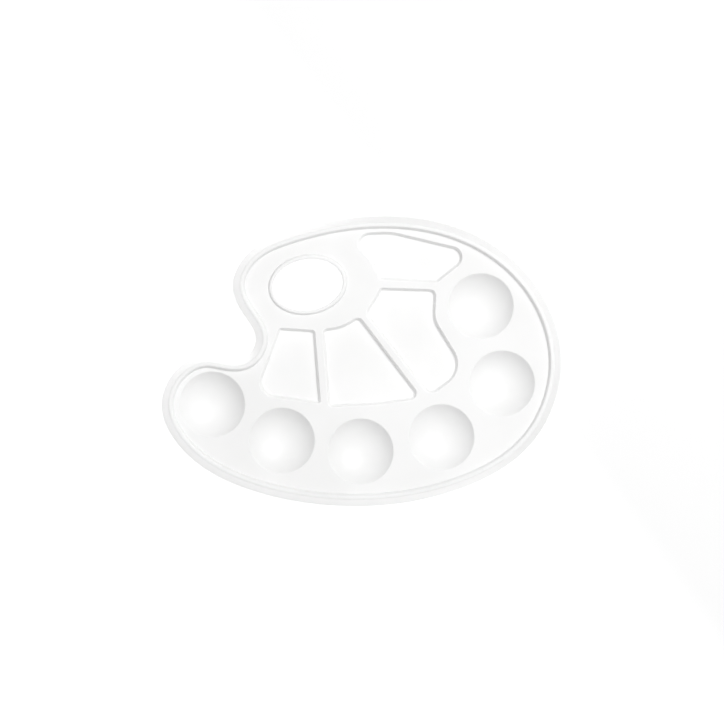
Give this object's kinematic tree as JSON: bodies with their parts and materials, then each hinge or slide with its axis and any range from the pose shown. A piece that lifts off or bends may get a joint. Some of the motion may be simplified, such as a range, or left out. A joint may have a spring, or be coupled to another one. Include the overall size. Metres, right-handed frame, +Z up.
{
  "type": "mixing palette",
  "caption": "Kidney-shaped moulded plastic paint palette with round paint wells, flat mixing pans, a thumb hole and a finger notch.",
  "frame": {"origin": "on the table, under the middle of the outline's box", "axes": "+X along the palette towards its broad end, +Y across it towards the side with the thumb hole, +Z up out of the wells"},
  "size_m": [0.23, 0.1672, 0.013],
  "materials": {
    "white_plastic": "semi-gloss white moulded plastic"
  },
  "bodies": {
    "root": {"rim": "white_plastic", "deck": "white_plastic", "paint_well_1": "white_plastic", "paint_well_2": "white_plastic", "paint_well_3": "white_plastic", "paint_well_4": "white_plastic", "paint_well_5": "white_plastic", "paint_well_6": "white_plastic", "mixing_pan_1": "white_plastic", "mixing_pan_2": "white_plastic", "mixing_pan_3": "white_plastic", "mixing_pan_4": "white_plastic", "thumb_hole_collar": "white_plastic"}
  },
  "joints": []
}
